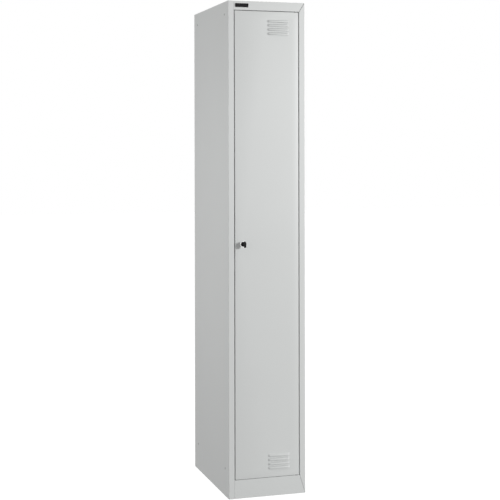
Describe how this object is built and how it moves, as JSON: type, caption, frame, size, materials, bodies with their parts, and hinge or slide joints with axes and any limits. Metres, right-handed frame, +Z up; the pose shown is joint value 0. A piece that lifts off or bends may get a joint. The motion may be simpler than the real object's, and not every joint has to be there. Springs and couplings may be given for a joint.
{
  "type": "locker cabinet",
  "caption": "Tall narrow single-door steel locker cabinet with louvred hinged door, keyed cam lock, hat shelf, and coat rail with sliding hooks.",
  "frame": {"origin": "On the floor, under the middle of the overall box, which includes the key standing out of the door; the front face of the cabinet is at y = -0.2315 and the back at y = 0.2685.", "axes": "+X to the right seen from the front, +Y from front to back, +Z up."},
  "size_m": [0.3, 0.537, 1.85],
  "materials": {
    "carcass_paint": "satin light grey powder coat",
    "door_paint": "satin light grey powder coat",
    "zinc_plate": "zinc plated",
    "bright_metal": "polished",
    "black_plastic": "satin",
    "grey_plastic": "satin",
    "dark_card": "matt",
    "black_rubber": "matt"
  },
  "bodies": {
    "carcass": {"side_panel_left": "carcass_paint", "side_panel_right": "carcass_paint", "top_panel": "carcass_paint", "base_panel": "carcass_paint", "back_panel": "carcass_paint", "hat_shelf": "carcass_paint", "shelf_clip_left_front": "zinc_plate", "shelf_clip_left_rear": "zinc_plate", "shelf_clip_right_front": "zinc_plate", "shelf_clip_right_rear": "zinc_plate", "coat_rail": "bright_metal", "rail_socket_left": "bright_metal", "rail_socket_right": "bright_metal", "hinge_pin_top": "zinc_plate", "hinge_pin_bottom": "zinc_plate", "hinge_bracket_top": "zinc_plate", "hinge_bracket_bottom": "zinc_plate", "door_buffer_1": "black_rubber", "door_buffer_2": "black_rubber", "door_buffer_3": "black_rubber", "label_holder": "black_plastic", "label_card": "dark_card", "hole_plug_left_front_top": "grey_plastic", "hole_plug_left_front_bottom": "grey_plastic", "hole_plug_left_rear_top": "grey_plastic", "hole_plug_left_rear_bottom": "grey_plastic", "hole_plug_right_front_top": "grey_plastic", "hole_plug_right_front_bottom": "grey_plastic", "hole_plug_right_rear_top": "grey_plastic", "hole_plug_right_rear_bottom": "grey_plastic"},
    "door": {"door_panel": "door_paint", "door_stiffener": "door_paint", "hinge_bush_top": "black_plastic", "hinge_bush_bottom": "black_plastic", "lock_housing": "bright_metal", "lock_nut": "zinc_plate"},
    "lock_plug": {"lock_plug": "bright_metal", "lock_face": "black_plastic", "lock_cam": "zinc_plate", "cam_screw": "zinc_plate"},
    "key": {"key_blade": "bright_metal", "key_bow": "black_plastic"},
    "hook_left": {"coat_hook_left": "zinc_plate"},
    "hook_right": {"coat_hook_right": "zinc_plate"}
  },
  "joints": [
    {"name": "door_hinge", "type": "hinge", "parent": "carcass", "child": "door", "pos_m": [0.115, -0.2255, 0.9425], "axis": [0, 0, 1], "range_deg": [0, 115]},
    {"name": "lock_turn", "type": "hinge", "parent": "door", "child": "lock_plug", "pos_m": [-0.094, -0.2315, 0.945], "axis": [0, 1, 0], "range_deg": [0, 90]},
    {"name": "key_pull", "type": "slide", "parent": "lock_plug", "child": "key", "axis": [0, -1, 0], "range_m": [0, 0.022]},
    {"name": "hook_left_slide", "type": "slide", "parent": "carcass", "child": "hook_left", "axis": [1, 0, 0], "range_m": [-0.06, 0.05]},
    {"name": "hook_right_slide", "type": "slide", "parent": "carcass", "child": "hook_right", "axis": [1, 0, 0], "range_m": [-0.05, 0.06]}
  ]
}
